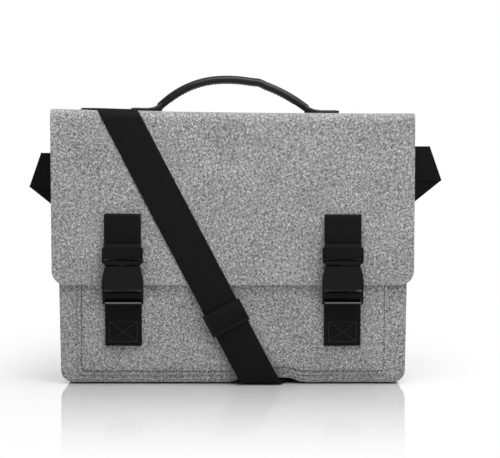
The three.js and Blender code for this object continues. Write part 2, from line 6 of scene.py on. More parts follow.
import bmesh
import bpy
import numpy as np
from mathutils import Vector
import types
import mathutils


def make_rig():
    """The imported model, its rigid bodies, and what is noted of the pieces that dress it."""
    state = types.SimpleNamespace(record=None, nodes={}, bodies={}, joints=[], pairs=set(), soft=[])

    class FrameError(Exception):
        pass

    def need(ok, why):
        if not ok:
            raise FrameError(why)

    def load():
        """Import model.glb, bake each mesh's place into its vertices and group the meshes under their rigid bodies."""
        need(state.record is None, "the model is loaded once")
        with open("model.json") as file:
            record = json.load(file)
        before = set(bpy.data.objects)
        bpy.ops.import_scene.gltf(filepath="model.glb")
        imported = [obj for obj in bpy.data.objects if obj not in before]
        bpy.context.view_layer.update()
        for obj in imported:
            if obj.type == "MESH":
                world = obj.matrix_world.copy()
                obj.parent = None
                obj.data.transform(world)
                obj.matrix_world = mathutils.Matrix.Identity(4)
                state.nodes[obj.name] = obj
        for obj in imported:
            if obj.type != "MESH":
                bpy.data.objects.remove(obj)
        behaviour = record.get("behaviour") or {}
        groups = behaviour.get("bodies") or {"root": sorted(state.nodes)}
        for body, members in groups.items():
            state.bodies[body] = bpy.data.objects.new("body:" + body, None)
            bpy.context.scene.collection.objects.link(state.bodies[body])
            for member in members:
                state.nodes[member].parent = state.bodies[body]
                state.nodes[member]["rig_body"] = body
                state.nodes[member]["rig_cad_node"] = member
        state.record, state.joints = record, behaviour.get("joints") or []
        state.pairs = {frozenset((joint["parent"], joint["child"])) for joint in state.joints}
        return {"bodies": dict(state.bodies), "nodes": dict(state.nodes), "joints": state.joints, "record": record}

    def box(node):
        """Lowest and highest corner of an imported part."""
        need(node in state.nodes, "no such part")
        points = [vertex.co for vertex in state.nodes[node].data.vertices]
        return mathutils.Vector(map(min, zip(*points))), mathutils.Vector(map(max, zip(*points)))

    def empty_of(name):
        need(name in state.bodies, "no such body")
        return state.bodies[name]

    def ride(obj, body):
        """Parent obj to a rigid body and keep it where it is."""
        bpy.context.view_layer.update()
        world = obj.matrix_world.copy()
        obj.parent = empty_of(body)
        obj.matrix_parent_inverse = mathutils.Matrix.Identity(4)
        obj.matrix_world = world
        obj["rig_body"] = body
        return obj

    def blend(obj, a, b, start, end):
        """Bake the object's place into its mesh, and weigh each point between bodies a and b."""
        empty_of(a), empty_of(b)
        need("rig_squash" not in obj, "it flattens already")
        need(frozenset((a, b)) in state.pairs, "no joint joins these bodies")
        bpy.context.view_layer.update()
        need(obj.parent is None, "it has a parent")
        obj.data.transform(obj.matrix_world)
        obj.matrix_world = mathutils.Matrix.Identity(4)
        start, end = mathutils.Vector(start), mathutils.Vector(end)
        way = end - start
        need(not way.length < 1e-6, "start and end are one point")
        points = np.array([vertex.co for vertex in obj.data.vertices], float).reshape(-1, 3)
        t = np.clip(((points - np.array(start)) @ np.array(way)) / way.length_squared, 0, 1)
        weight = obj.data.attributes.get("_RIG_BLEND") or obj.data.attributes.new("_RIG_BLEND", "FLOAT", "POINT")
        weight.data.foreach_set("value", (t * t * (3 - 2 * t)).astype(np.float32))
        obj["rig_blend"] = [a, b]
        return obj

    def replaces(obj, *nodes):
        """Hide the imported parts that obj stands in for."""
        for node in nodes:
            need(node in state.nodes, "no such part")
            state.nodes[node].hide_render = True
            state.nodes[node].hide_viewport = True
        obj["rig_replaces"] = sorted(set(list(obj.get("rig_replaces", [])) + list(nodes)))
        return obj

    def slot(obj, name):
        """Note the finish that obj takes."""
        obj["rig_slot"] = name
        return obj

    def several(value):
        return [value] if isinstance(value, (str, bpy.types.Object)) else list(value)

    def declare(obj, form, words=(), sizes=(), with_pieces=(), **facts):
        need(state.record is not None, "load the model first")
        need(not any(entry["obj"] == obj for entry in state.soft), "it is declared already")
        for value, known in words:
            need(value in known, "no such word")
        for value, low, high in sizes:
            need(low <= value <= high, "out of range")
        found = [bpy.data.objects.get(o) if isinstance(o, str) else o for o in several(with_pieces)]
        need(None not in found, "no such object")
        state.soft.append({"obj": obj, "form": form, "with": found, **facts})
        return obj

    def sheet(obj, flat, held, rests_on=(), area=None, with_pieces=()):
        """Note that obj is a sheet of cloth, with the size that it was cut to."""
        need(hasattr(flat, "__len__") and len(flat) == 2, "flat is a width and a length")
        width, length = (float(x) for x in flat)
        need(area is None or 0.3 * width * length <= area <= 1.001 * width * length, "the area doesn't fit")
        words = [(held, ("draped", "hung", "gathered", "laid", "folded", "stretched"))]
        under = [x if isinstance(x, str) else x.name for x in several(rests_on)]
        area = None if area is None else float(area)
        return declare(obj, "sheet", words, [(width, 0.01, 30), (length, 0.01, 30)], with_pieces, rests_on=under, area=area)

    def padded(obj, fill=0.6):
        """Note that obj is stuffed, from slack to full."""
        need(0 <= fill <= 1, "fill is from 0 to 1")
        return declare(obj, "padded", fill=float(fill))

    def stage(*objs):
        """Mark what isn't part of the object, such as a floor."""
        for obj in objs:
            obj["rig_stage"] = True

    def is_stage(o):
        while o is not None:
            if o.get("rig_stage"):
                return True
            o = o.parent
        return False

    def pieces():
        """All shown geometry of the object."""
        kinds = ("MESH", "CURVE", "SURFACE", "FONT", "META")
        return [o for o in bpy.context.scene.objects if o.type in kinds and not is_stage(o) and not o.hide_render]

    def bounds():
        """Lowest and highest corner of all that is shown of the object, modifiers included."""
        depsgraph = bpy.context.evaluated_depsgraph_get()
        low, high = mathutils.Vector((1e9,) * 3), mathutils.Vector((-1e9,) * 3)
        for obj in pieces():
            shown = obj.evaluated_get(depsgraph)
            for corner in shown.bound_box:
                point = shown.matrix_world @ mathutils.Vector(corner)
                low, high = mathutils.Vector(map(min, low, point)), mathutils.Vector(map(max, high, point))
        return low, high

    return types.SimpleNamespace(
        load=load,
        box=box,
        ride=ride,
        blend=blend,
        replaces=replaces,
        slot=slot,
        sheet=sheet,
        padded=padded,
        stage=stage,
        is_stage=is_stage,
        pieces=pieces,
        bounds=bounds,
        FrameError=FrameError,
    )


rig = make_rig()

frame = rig.load()
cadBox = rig.bounds()
print("frame loaded")


# Lowest and highest corners of a node, as arrays.
def boxOf(node):
    lo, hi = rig.box(node)
    return np.array(lo), np.array(hi)


flapLo, flapHi = boxOf("flap")
backLo, backHi = boxOf("back_panel")
frontLo, frontHi = boxOf("front_panel")
pocketLo, pocketHi = boxOf("front_pocket")
sliderLo, sliderHi = boxOf("slider_frame")
strapHi = boxOf("strap_over_flap")[1]
underLo, underHi = boxOf("strap_under_bag")
behindLo = boxOf("strap_behind_left")[0]
joints = {j["name"]: j for j in frame["record"]["behaviour"]["joints"]}
strapUp = joints["slider_slide"]["axis"]
strapTilt = math.atan2(-strapUp[0], strapUp[2])
sliderMiddle = (sliderLo + sliderHi) / 2
facing = np.array([0, -1.0, 0])  # the way the bag faces


# 3t^2 - 2t^3 of t kept between 0 and 1.
def smooth(t):
    t = np.clip(t, 0, 1)
    return t * t * (3 - 2 * t)


# Vectors divided by their lengths.
def unit(v):
    return v / np.maximum(np.linalg.norm(v, axis=-1, keepdims=True), 1e-12)


# Coordinates stacked last, each one spread over the others' shape.
def points(x, y, z):
    return np.stack(np.broadcast_arrays(x, y, z), -1).astype(float)


# The same vector once a row.
def repeated(vector, rows):
    return np.tile(np.array(vector, float), (rows, 1))


slump = {
    "belly": 0.0022,  # how far the front swells out
    "lean": 0.0024,  # the top edge stands higher at its left end by twice this
    "dip": 0.0014,  # and hangs between its ends
    "ripple": 0.0005,
    "waves": ((31, 9, 1.1), (-13, 27, 0.4), (67, 41, 0)),  # a metre in x and z, start
    "backShare": -0.35,  # how much of it reaches the back
    "top": (0.14, 0.13),  # the lean starts at this height and grows over the next
}


# The bag's own slump, as a smooth field over space. Forward by belly (1 - (x/a)^2)
# sin(pi z/h) in front; up by lean and dip along the top; with a few sines as ripples.
def settle(p):
    p = np.asarray(p, float)
    x, y, z = p[..., 0], p[..., 1], p[..., 2]
    a, h = flapHi[0], flapHi[2]
    across = np.clip(1 - (x / a) ** 2, 0, 1)
    forward = np.clip(-y / -frontLo[1], slump["backShare"], 1)
    height = np.sin(math.pi * np.clip(z / h, 0, 1))
    start, over = slump["top"]
    top = smooth((z - start) / over)
    first, second, third = (np.sin(i * x + k * z + c) for i, k, c in slump["waves"])
    wave = first * second + 0.5 * third
    out = p.copy()
    out[..., 1] -= forward * height * (slump["belly"] * across + slump["ripple"] * wave)
    out[..., 2] += top * (-slump["lean"] * x / a - slump["dip"] * across)
    return out


# A mesh object from its corners, faces and, if given, the "along" coordinates.
def addObject(name, verts, faces, uv=None):
    mesh = bpy.data.meshes.new(name)
    mesh.from_pydata(np.asarray(verts).tolist(), [], faces)
    mesh.validate()
    mesh.polygons.foreach_set("use_smooth", np.ones(len(mesh.polygons), bool))
    if uv is not None:
        layer = mesh.uv_layers.new(name="along")
        layer.data.foreach_set("uv", np.asarray(uv, np.float32).ravel())
    mesh.update()
    obj = bpy.data.objects.new(name, mesh)
    bpy.context.scene.collection.objects.link(obj)
    return obj


# Quads between neighbouring rows and columns; a closed grid joins its last column to
# its first.
def gridFaces(rows, columns, closed=False):
    i = np.arange(rows - 1)[:, None]
    j = np.arange(columns if closed else columns - 1)[None, :]
    k = (j + 1) % columns
    return np.stack(
        [i * columns + j, i * columns + k, (i + 1) * columns + k, (i + 1) * columns + j], -1
    ).reshape(-1, 4)


# Corner coordinates for gridFaces, from one value a row and one a column.
def gridUv(u, v):
    a = np.stack(np.meshgrid(u[:-1], v[:-1]), -1)
    b = np.stack(np.meshgrid(u[1:], v[:-1]), -1)
    c = np.stack(np.meshgrid(u[1:], v[1:]), -1)
    d = np.stack(np.meshgrid(u[:-1], v[1:]), -1)
    return np.stack([a, b, c, d], 2).reshape(-1, 2)


# Distance so far at each point of a path.
def distances(path):
    steps = np.linalg.norm(np.diff(path, axis=0), axis=1)
    return np.concatenate([[0], np.cumsum(steps)])


# Normals recalculated on a closed mesh.
def outwards(obj):
    bm = bmesh.new()
    bm.from_mesh(obj.data)
    bmesh.ops.recalc_face_normals(bm, faces=bm.faces)
    bm.to_mesh(obj.data)
    bm.free()
    return obj


rawEdge = {"bulge": 0.12, "steps": np.array([0.25, 0.5, 0.75]), "stretch": 0.7}


# A sheet of felt: the outer surface is the grid, the inner one lies a thickness below
# it against the surface normal, and a rim of three rows rounds the raw edge between
# them.
def felted(name, grid, thickness, side=1):
    du = np.gradient(grid, axis=1)
    dv = np.gradient(grid, axis=0)
    normal = side * unit(np.cross(dv, du))
    inner = grid - normal * thickness
    rows, columns = grid.shape[:2]
    rim = lambda a: np.concatenate([a[0], a[1:, -1], a[-1, -2::-1], a[-2:0:-1, 0]])
    outerRim, innerRim, rimNormal = rim(grid), rim(inner), rim(normal)
    along = unit(np.roll(outerRim, -1, 0) - np.roll(outerRim, 1, 0))
    away = unit(np.cross(along, rimNormal))
    steps = rawEdge["steps"]
    bulge = rawEdge["bulge"] * thickness * np.sin(math.pi * steps)
    rims = [outerRim * (1 - s) + innerRim * s + away * b for s, b in zip(steps, bulge)]
    verts = np.concatenate([grid.reshape(-1, 3), inner.reshape(-1, 3), *rims])
    count = rows * columns
    faces = gridFaces(rows, columns)
    index = np.arange(count).reshape(rows, columns)
    ring = rim(index[..., None])[:, 0]
    loops = [ring, *(2 * count + np.arange(len(ring)) + k * len(ring) for k in range(3))]
    loops.append(ring + count)
    walls = [
        np.stack([a, np.roll(a, -1), np.roll(b, -1), b], -1)
        for a, b in zip(loops[:-1], loops[1:])
    ]
    quads = np.concatenate([faces, faces[:, ::-1] + count, *walls])
    down = np.linalg.norm(np.diff(grid, axis=0, prepend=grid[:1]), axis=-1).cumsum(0)
    over = np.linalg.norm(np.diff(grid, axis=1, prepend=grid[:, :1]), axis=-1).cumsum(1)
    uv = np.stack([over - over[:, columns // 2 : columns // 2 + 1], down], -1)
    rimUv = rim(uv)
    rimUvs = [rimUv + rawEdge["stretch"] * thickness * s for s in steps]
    uvs = np.concatenate([uv.reshape(-1, 2), uv.reshape(-1, 2) + 0.5, *rimUvs])
    obj = addObject(name, verts, quads.tolist(), uvs[quads.ravel()])
    return outwards(obj)


# A flat closed section with half-round edges, slightly crowned: columns of [across,
# out], out from 0 to the thickness.
def bandProfile(width, thickness, crown=0.0):
    half, r = width / 2 - thickness / 2, thickness / 2
    flat = np.linspace(1, -1, 15)
    turn = np.linspace(90, 270, 7)[1:-1] * math.pi / 180
    top = np.stack([flat * half, np.full(15, thickness)], -1)
    left = np.stack([-half + r * np.cos(turn), r + r * np.sin(turn)], -1)
    bottom = np.stack([-flat * half, np.zeros(15)], -1)
    right = np.stack([half - r * np.cos(turn), r - r * np.sin(turn)], -1)
    section = np.concatenate([top, left, bottom, right])
    section[:, 1] += crown * (1 - (section[:, 0] / (width / 2)) ** 2)
    return section


# Rings of points as one closed skin, with a face over the first and the last ring.
def closedTube(name, grid, uv=None):
    rows, columns = grid.shape[:2]
    caps = [list(range(columns - 1, -1, -1)), list(range((rows - 1) * columns, rows * columns))]
    faces = gridFaces(rows, columns, closed=True).tolist() + caps
    return outwards(addObject(name, grid.reshape(-1, 3), faces, uv))


# A closed section carried along a path: path + across a + out b, closed at both ends.
# The coordinates are metres across and along.
def swept(name, path, across, out, section, settled=True):
    sides, rises = section[None, :, :1], section[None, :, 1:]
    grid = path[:, None] + across[:, None] * sides + out[:, None] * rises
    if settled:
        grid = settle(grid)
    v = distances(path)
    u = section[:, 0]
    uv = gridUv(np.append(u, u[0]), v)
    capUv = [[x, v[0]] for x in u[::-1]] + [[x, v[-1]] for x in u]
    return closedTube(name, grid, np.concatenate([uv, capUv]))


# Rows of an array, given at distances s, read off at other distances by straight lines.
def sampled(rows, s, at):
    return np.stack([np.interp(at, s, rows[:, k]) for k in range(rows.shape[1])], -1)


# Small stitches along a path: each is a rounded grain of thread, its rings
# r sin(latitude) wide and half a length cos(latitude) along the path.
def stitches(name, path, out, pitch, length=0.0024, thread=0.00032, lift=0.0001):
    path = settle(path)
    s = distances(path)
    count = max(int(s[-1] / pitch), 1)
    at = (np.arange(count) + 0.5) * s[-1] / count
    place = sampled(path, s, at)
    along = unit(sampled(path, s, at + pitch / 4) - sampled(path, s, at - pitch / 4))
    normal = unit(sampled(out, s, at))
    side = unit(np.cross(along, normal))
    latitude = np.array([12, 50, 90, 130, 168]) * math.pi / 180
    around = np.arange(6) * math.pi / 3
    ring = lambda v: v[:, None, None, :]
    turned = ring(side) * np.cos(around)[:, None] + ring(normal) * np.sin(around)[:, None]
    grid = (
        ring(place + normal * (lift + thread * 0.3))
        + ring(along) * (length / 2 * np.cos(latitude))[:, None, None]
        + (thread * np.sin(latitude))[:, None, None] * turned
    )
    rings, each = len(latitude), len(around)
    quads = gridFaces(rings, each, closed=True)
    caps = np.stack([np.arange(each)[::-1], np.arange(each) + (rings - 1) * each])
    shift = (np.arange(count) * rings * each)[:, None, None]
    faces = (quads[None] + shift).reshape(-1, 4).tolist()
    faces += (caps[None] + shift).reshape(-1, each).tolist()
    return outwards(addObject(name, grid.reshape(-1, 3), faces))


# Several objects as one.
def joined(name, parts):
    bm = bmesh.new()
    for obj in parts:
        bm.from_mesh(obj.data)
        bpy.data.objects.remove(obj)
    mesh = bpy.data.meshes.new(name)
    bm.to_mesh(mesh)
    bm.free()
    made = bpy.data.objects.new(name, mesh)
    bpy.context.scene.collection.objects.link(made)
    return made


mould = {
    "merge": 2e-5,
    "flatWithin": 0.02,  # radians between faces that are taken as one
    "edgeFrom": 25,  # degrees from which an edge is rounded
}


# The corners of a mesh moved to where a rule puts them.
def reshape(mesh, rule):
    co = np.empty(len(mesh.vertices) * 3)
    mesh.vertices.foreach_get("co", co)
    mesh.vertices.foreach_set("co", rule(co.reshape(-1, 3)).ravel())


# A moulded piece: the frame's solid with its doubles merged, settled with the
# bag, and its edges rounded.
def moulded(name, node, radius):
    mesh = frame["nodes"][node].data.copy()
    mesh.name = name
    obj = bpy.data.objects.new(name, mesh)
    bpy.context.scene.collection.objects.link(obj)
    bm = bmesh.new()
    bm.from_mesh(mesh)
    bmesh.ops.remove_doubles(bm, verts=bm.verts, dist=mould["merge"])
    bmesh.ops.dissolve_limit(bm, angle_limit=mould["flatWithin"], verts=bm.verts, edges=bm.edges)
    bm.to_mesh(mesh)
    bm.free()
    reshape(mesh, settle)
    mesh.materials.clear()
    mesh.polygons.foreach_set("use_smooth", np.ones(len(mesh.polygons), bool))
    bevel = obj.modifiers.new("rounded", "BEVEL")
    bevel.width = radius
    bevel.segments = 3
    bevel.limit_method = "ANGLE"
    bevel.angle_limit = math.radians(mould["edgeFrom"])
    bevel.harden_normals = True
    flat = obj.modifiers.new("flatFaces", "WEIGHTED_NORMAL")
    flat.weight = 100
    return obj


# One socket of a material, with Python's operators.
class Value:
    def __init__(self, paint, socket):
        self.paint = paint
        self.socket = socket

    def calc(self, operation, *others):
        return self.paint.get("ShaderNodeMath", {"operation": operation}, [self, *others])

    def __add__(self, other):
        return self.calc("ADD", other)

    def __sub__(self, other):
        return self.calc("SUBTRACT", other)

    def __mul__(self, other):
        return self.calc("MULTIPLY", other)

    def __rsub__(self, other):
        return (self * -1) + other

    __radd__ = __add__
    __rmul__ = __mul__

    def sine(self):
        return self.calc("SINE")

    def size(self):
        return self.calc("ABSOLUTE")

    def between(self, low, high):
        settings = {"interpolation_type": "SMOOTHSTEP"}
        return self.paint.get("ShaderNodeMapRange", settings, [self, low, high, 0.0, 1.0])


# One material: get() makes a node from its type, settings and inputs.
class Paint:
    def __init__(self, name):
        self.material = bpy.data.materials.new(name)
        self.material.use_nodes = True
        self.nodes = self.material.node_tree.nodes
        self.links = self.material.node_tree.links
        self.shader = self.nodes["Principled BSDF"]

    def node(self, kind, settings=(), inputs=()):
        made = self.nodes.new(kind)
        for key, value in dict(settings).items():
            if key == "stops":
                ramp = made.color_ramp
                while len(ramp.elements) < len(value):
                    ramp.elements.new(0.5)
                for element, (place, tone) in zip(ramp.elements, value):
                    element.position = place
                    element.color = (*tone, 1)
            else:
                setattr(made, key, value)
        pairs = inputs.items() if isinstance(inputs, dict) else enumerate(inputs)
        for key, value in pairs:
            self.put(made.inputs[key], value)
        return made

    def get(self, kind, settings=(), inputs=(), output=0):
        return Value(self, self.node(kind, settings, inputs).outputs[output])

    def put(self, socket, value):
        if isinstance(value, Value):
            self.links.new(value.socket, socket)
        else:
            socket.default_value = value

    def place(self):
        return self.get("ShaderNodeTexCoord", output="Object")

    def noise(self, where, scale, detail=2.0, rough=0.5):
        return self.get(
            "ShaderNodeTexNoise",
            {"noise_dimensions": "3D"},
            {"Vector": where, "Scale": scale, "Detail": detail, "Roughness": rough},
        )

    def mix(self, share, first, second):
        made = self.node("ShaderNodeMix", {"data_type": "RGBA"})
        self.put(made.inputs[0], share)
        self.put(made.inputs[6], first)
        self.put(made.inputs[7], second)
        return Value(self, made.outputs[2])

    def tones(self, share, colour, low, high):
        # from low times a colour to high times it
        return self.mix(share, (*[low * c for c in colour], 1), (*[high * c for c in colour], 1))

    def set(self, **values):
        for key, value in values.items():
            self.put(self.shader.inputs[key.replace("_", " ")], value)
        return self

    def bump(self, height, depth, strength=1.0):
        inputs = {"Height": height, "Distance": depth, "Strength": strength}
        self.put(self.shader.inputs["Normal"], self.get("ShaderNodeBump", inputs=inputs))
        return self


feltLook = {
    "dark": (0.062, 0.062, 0.064),
    "middle": (0.255, 0.255, 0.257),
    "light": (0.66, 0.66, 0.66),
    "tufts": 700,  # a metre
    "fibre": (820, 265),  # a metre, across the fibres and along them
    "hair": (1700, 420),
    "curl": 0.0024,
    "patches": 300,
    "cloud": 22,
    "ways": (0.7, -0.82),  # radians, how the fibres lie
    "shares": (1.55, 0.9, 0.75, 0.16),  # of fibres, hairs, tufts and cloud in the tone
    "depth": 0.0009,
}


# Heathered wool felt: fibres and finer hairs lying both ways across the sheet,
# curled by a slow noise, in patches of one way or the other, with tufts and
# clouds of tone, added up and read through a ramp from dark to light wool.
def feltPaint(name, tone=1.0):
    paint = Paint(name)
    flat = paint.get("ShaderNodeUVMap", {"uv_map": "along"})
    curl = paint.node("ShaderNodeTexNoise", inputs={"Vector": flat, "Scale": 95.0, "Detail": 1.0})
    bent = paint.get(
        "ShaderNodeVectorMath",
        {"operation": "MULTIPLY_ADD"},
        [Value(paint, curl.outputs["Color"]), [feltLook["curl"]] * 3, flat],
    )
    tufts = paint.noise(flat, feltLook["tufts"], 3.0, 0.65)
    cloud = paint.noise(flat, feltLook["cloud"], 2.0)
    patch = paint.noise(flat, feltLook["patches"], 1.0).between(0.42, 0.58)
    layers = []
    for across, along in (feltLook["fibre"], feltLook["hair"]):
        ways = []
        for turn in feltLook["ways"]:
            settings = {"vector_type": "TEXTURE"}
            inputs = {"Vector": bent, "Rotation": (0, 0, turn), "Scale": (1 / across, 1 / along, 1)}
            ways.append(paint.noise(paint.get("ShaderNodeMapping", settings, inputs), 1.0, 2.0))
        layers.append(ways[0] * patch + ways[1] * (1 - patch))
    fibres, hairs = layers
    kinds = [(kind - 0.5) * share for kind, share in zip((fibres, hairs, tufts, cloud), feltLook["shares"])]
    wool = kinds[0] + kinds[1] + kinds[2] + kinds[3] + 0.5
    places = {"dark": 0.2, "middle": 0.5, "light": 0.84}
    stops = [(at, tuple(tone * c for c in feltLook[key])) for key, at in places.items()]
    colour = paint.get("ShaderNodeValToRGB", {"stops": stops}, [wool])
    paint.set(Base_Color=colour, Roughness=0.96, Sheen_Weight=0.2, Sheen_Roughness=0.6)
    paint.set(Specular_IOR_Level=0.2)
    return paint.bump(fibres + hairs * 0.6 + tufts * 0.5, feltLook["depth"], 0.5).material


webLook = {
    "rib": 0.0021,
    "column": 0.0027,
    "border": (0.0035, 0.0025),  # from the edge, where the border starts and is full
    "colour": (0.0042, 0.0042, 0.0044),
    "depth": 0.00028,
}


# Woven webbing: a twill of crossing diagonals, |sin(u+v)| |sin(u-v)|, a plain
# border at each edge and dust-fine specks.
def webPaint(name, width):
    paint = Paint(name)
    uv = paint.get("ShaderNodeUVMap", {"uv_map": "along"})
    split = paint.node("ShaderNodeSeparateXYZ", inputs=[uv])
    across, along = Value(paint, split.outputs[0]), Value(paint, split.outputs[1])
    u = across * (math.pi / webLook["column"])
    v = along * (math.pi / webLook["rib"])
    twill = (u + v).sine().size() * (u - v).sine().size()
    ribs = (v * 1.5).sine() * 0.5 + 0.5
    border = across.size().between(*[width / 2 - inset for inset in webLook["border"]])
    weave = twill * (1 - border) + ribs * border
    specks = paint.noise(paint.place(), 1500, 2.0)
    shade = paint.mix(weave, (0.35, 0.35, 0.35, 1), (1.25, 1.25, 1.25, 1))
    tint = paint.get("ShaderNodeVectorMath", {"operation": "MULTIPLY"}, [shade, webLook["colour"]])
    paint.set(Base_Color=tint, Roughness=0.55 + specks * 0.2, Sheen_Weight=0.015)
    paint.set(Sheen_Roughness=0.4, Specular_IOR_Level=0.13)
    return paint.bump(weave + specks * 0.15, webLook["depth"], 0.8).material


# Moulded plastic: a fine spark-eroded grain with soft swirls of gloss.
def plasticPaint(name, colour, rough, shine):
    paint = Paint(name)
    where = paint.place()
    grain = paint.noise(where, 2600, 2.0)
    swirl = paint.noise(where, 90, 3.0)
    tint = paint.tones(swirl, colour, 1.0, 1.5)
    paint.set(Base_Color=tint, Roughness=swirl * 0.1 + rough, Specular_IOR_Level=shine)
    return paint.bump(grain, 0.00003, 0.4).material


# Leather: small cells of grain with creases between them, polished on top; the creases are darkened with painted
# shade, and the cell tops are made lighter with painted light.
def leatherPaint(name, colour):
    paint = Paint(name)
    where = paint.place()
    cells = paint.get(
        "ShaderNodeTexVoronoi",
        {"feature": "DISTANCE_TO_EDGE"},
        {"Vector": where, "Scale": 900.0},
    )
    creases = cells.between(0.0, 0.16)
    folds = paint.noise(where, 120, 4.0)
    # painted shade: half as bright in the creases; painted light: 1.3 times as bright on the cell tops
    tint = paint.tones(creases, colour, 0.5, 1.3)
    paint.set(Base_Color=tint, Roughness=0.42 - creases * 0.12 + (folds - 0.5) * 0.2)
    paint.set(Coat_Weight=0.2, Coat_Roughness=0.15, Specular_IOR_Level=0.25)
    return paint.bump(creases + folds * 1.6, 0.00008, 0.5).material


# Sewing thread: fibres a shade darker and lighter, with a soft sheen.
def threadPaint(name, colour):
    paint = Paint(name)
    fibres = paint.noise(paint.place(), 2200, 1.0)
    tint = paint.tones(fibres, colour, 0.6, 1.4)
    paint.set(Base_Color=tint, Roughness=0.7, Sheen_Weight=0.2)
    return paint.bump(fibres, 0.0001, 0.6).material


felt = feltPaint("greyFelt")
lining = feltPaint("liningFelt", 0.8)
webbing = webPaint("blackWebbing", 0.038)
acetal = (0.0022, 0.0022, 0.0023)
plastic = plasticPaint("buckleAcetal", acetal, 0.1, 0.14)
polished = plasticPaint("polishedAcetal", acetal, 0.05, 0.75)
boardPlastic = plasticPaint("boardPlastic", (0.03, 0.03, 0.03), 0.5, 0.4)
leather = leatherPaint("blackLeather", (0.008, 0.0078, 0.0078))
greyThread = threadPaint("greyThread", (0.03, 0.03, 0.03))
blackThread = threadPaint("blackThread", (0.0035, 0.0035, 0.0035))
print("materials made")


# Gives a piece its material, record slot, body and the solids it stands for.
def dress(obj, material, slotName, body=None, nodes=()):
    obj.data.materials.append(material)
    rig.slot(obj, slotName)
    if body:
        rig.ride(obj, body)
    if nodes:
        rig.replaces(obj, *nodes)
    return obj


# The felt of the back runs on over the top and down the front as the flap.
flap = {
    "felt": flapHi[2] - backHi[2] - 0.0003,
    "backCorner": 0.007,  # radius of its turn over the back edge
    "fold": 0.009,
    "corner": 0.015,
    "widen": (0.001, 0.018),  # starts this far over the back edge, and takes this long
    "columns": 96,
    "crowd": 0.93,  # how much closer the columns stand towards the sides, at most 1
    "cut": 0.97,  # share of the whole rectangle that is left when it is cut out
}
panels = {
    "felt": 0.004,
    "corner": 0.015,
    "taper": 0.004,  # each side draws in by this from the top to the foot
}
hinge = {"start": (0, 0.034, 0.283), "end": (0, 0.010, 0.283)}  # where the felt bends


# The way of the sheet's outside in (y, z): up the back, round a quarter turn,
# along the top, round the front fold and down to the edge.
def sheetWay():
    yBack, yFront, top = backHi[1], flapLo[1], flapHi[2]
    back, fold, corner = flap["backCorner"], flap["fold"], flap["corner"]
    angles = lambda a, b, n: np.linspace(a, b, n)[1:] * math.pi / 180
    first, second, low = angles(0, 90, 12), angles(90, 180, 14), angles(0, 90, 12)
    line = lambda y, z: points(y, 0, z)[:, [0, 2]]
    return np.concatenate(
        [
            line(yBack, np.linspace(backLo[2], top - back, 50)),
            line(yBack - back + back * np.cos(first), top - back + back * np.sin(first)),
            line(np.linspace(yBack - back, yFront + fold, 26)[1:], top),
            line(yFront + fold + fold * np.cos(second), top - fold + fold * np.sin(second)),
            line(yFront, np.linspace(top - fold, flapLo[2] + corner, 34)[1:]),
            line(yFront, flapLo[2] + corner * (1 - np.sin(low))),
        ]
    )


# How far a rounded corner draws an edge in at a height: r - sqrt(r^2 - d^2), with d
# the depth below the corner's start.
def roundedIn(z, foot, radius):
    low = np.clip((foot + radius - z) / radius, 0, 1)
    return radius * (1 - np.sqrt(1 - low**2))


# Half width of the body at a height: a straight taper with a rounded foot.
def bodyHalf(z):
    foot = backHi[0] - panels["taper"]
    return foot + (backHi[0] - foot) * z / backHi[2] - roundedIn(z, 0, panels["corner"])


# Half width along the sheet: the body's on the back, widening over the back
# edge to the flap's, and rounded at the flap's lower corners.
def sheetHalf(way):
    y, z = way[:, 0], way[:, 1]
    start, over = flap["widen"]
    wide = smooth((backHi[1] - start - y) / over)
    half = bodyHalf(np.minimum(z, backHi[2])) * (1 - wide) + flapHi[0] * wide
    return np.where(y < frontLo[1], half - roundedIn(z, flapLo[2], flap["corner"]), half)


# Foot of the bag: it lifts over the strap by a cosine ramp, and the lift dies
# away with height; its lower edges turn in by a square law.
lift = {
    "half": 0.0245,
    "ramp": 0.015,
    "height": 0.0046,
    "fade": 0.03,
    "floor": 0.0019,  # height of the strap's middle under the bag
    "aside": 0.0016,
}
foot = {"height": 0.008, "in": 0.055, "up": 0.0014}
tiltSlope = math.tan(strapTilt)
footStart = sliderMiddle[0] + tiltSlope * (sliderMiddle[2] - lift["floor"]) + lift["aside"]


def raised(p):
    middle = footStart + tiltSlope * (p[..., 1] - flapLo[1])
    share = 1 - smooth((np.abs(p[..., 0] - middle) - lift["half"]) / lift["ramp"])
    fade = np.exp(-((np.maximum(p[..., 2], 0) / lift["fade"]) ** 2))
    turnIn = np.clip(1 - p[..., 2] / foot["height"], 0, 1) ** 2
    out = p.copy()
    out[..., 1] *= 1 - foot["in"] * turnIn
    out[..., 2] += lift["height"] * share * fade
    out[..., 2] += foot["up"] * turnIn * (p[..., 1] / backHi[1]) ** 6
    return out


way = sheetWay()
half = sheetHalf(way)
crowd = flap["crowd"]
u = np.sin(np.linspace(-1, 1, flap["columns"]) * math.pi / 2 * crowd) / math.sin(math.pi / 2 * crowd)
grid = points(half[:, None] * u, way[:, :1], way[:, 1:])
grid[..., 2] = np.where(grid[..., 1] > 0, raised(grid)[..., 2], grid[..., 2])
flapSheet = felted("felt_back_and_flap", settle(grid), flap["felt"])
dress(flapSheet, felt, "felt", nodes=["flap", "back_panel"])
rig.blend(flapSheet, "bag", "flap", hinge["start"], hinge["end"])
flat = 2 * flapHi[0], float(distances(way)[-1])
area = flap["cut"] * flat[0] * flat[1]
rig.sheet(flapSheet, flat=flat, held="folded", rests_on=["base_panel"], area=area)


# Heights of a panel's rows: close together round its lower corners, then even.
def rowsUp(foot, corner, top, low, high):
    rounded = foot + corner * (1 - np.cos(np.linspace(0, 1, low) * math.pi / 2))
    return np.concatenate([rounded, np.linspace(foot + corner, top, high)[1:]])


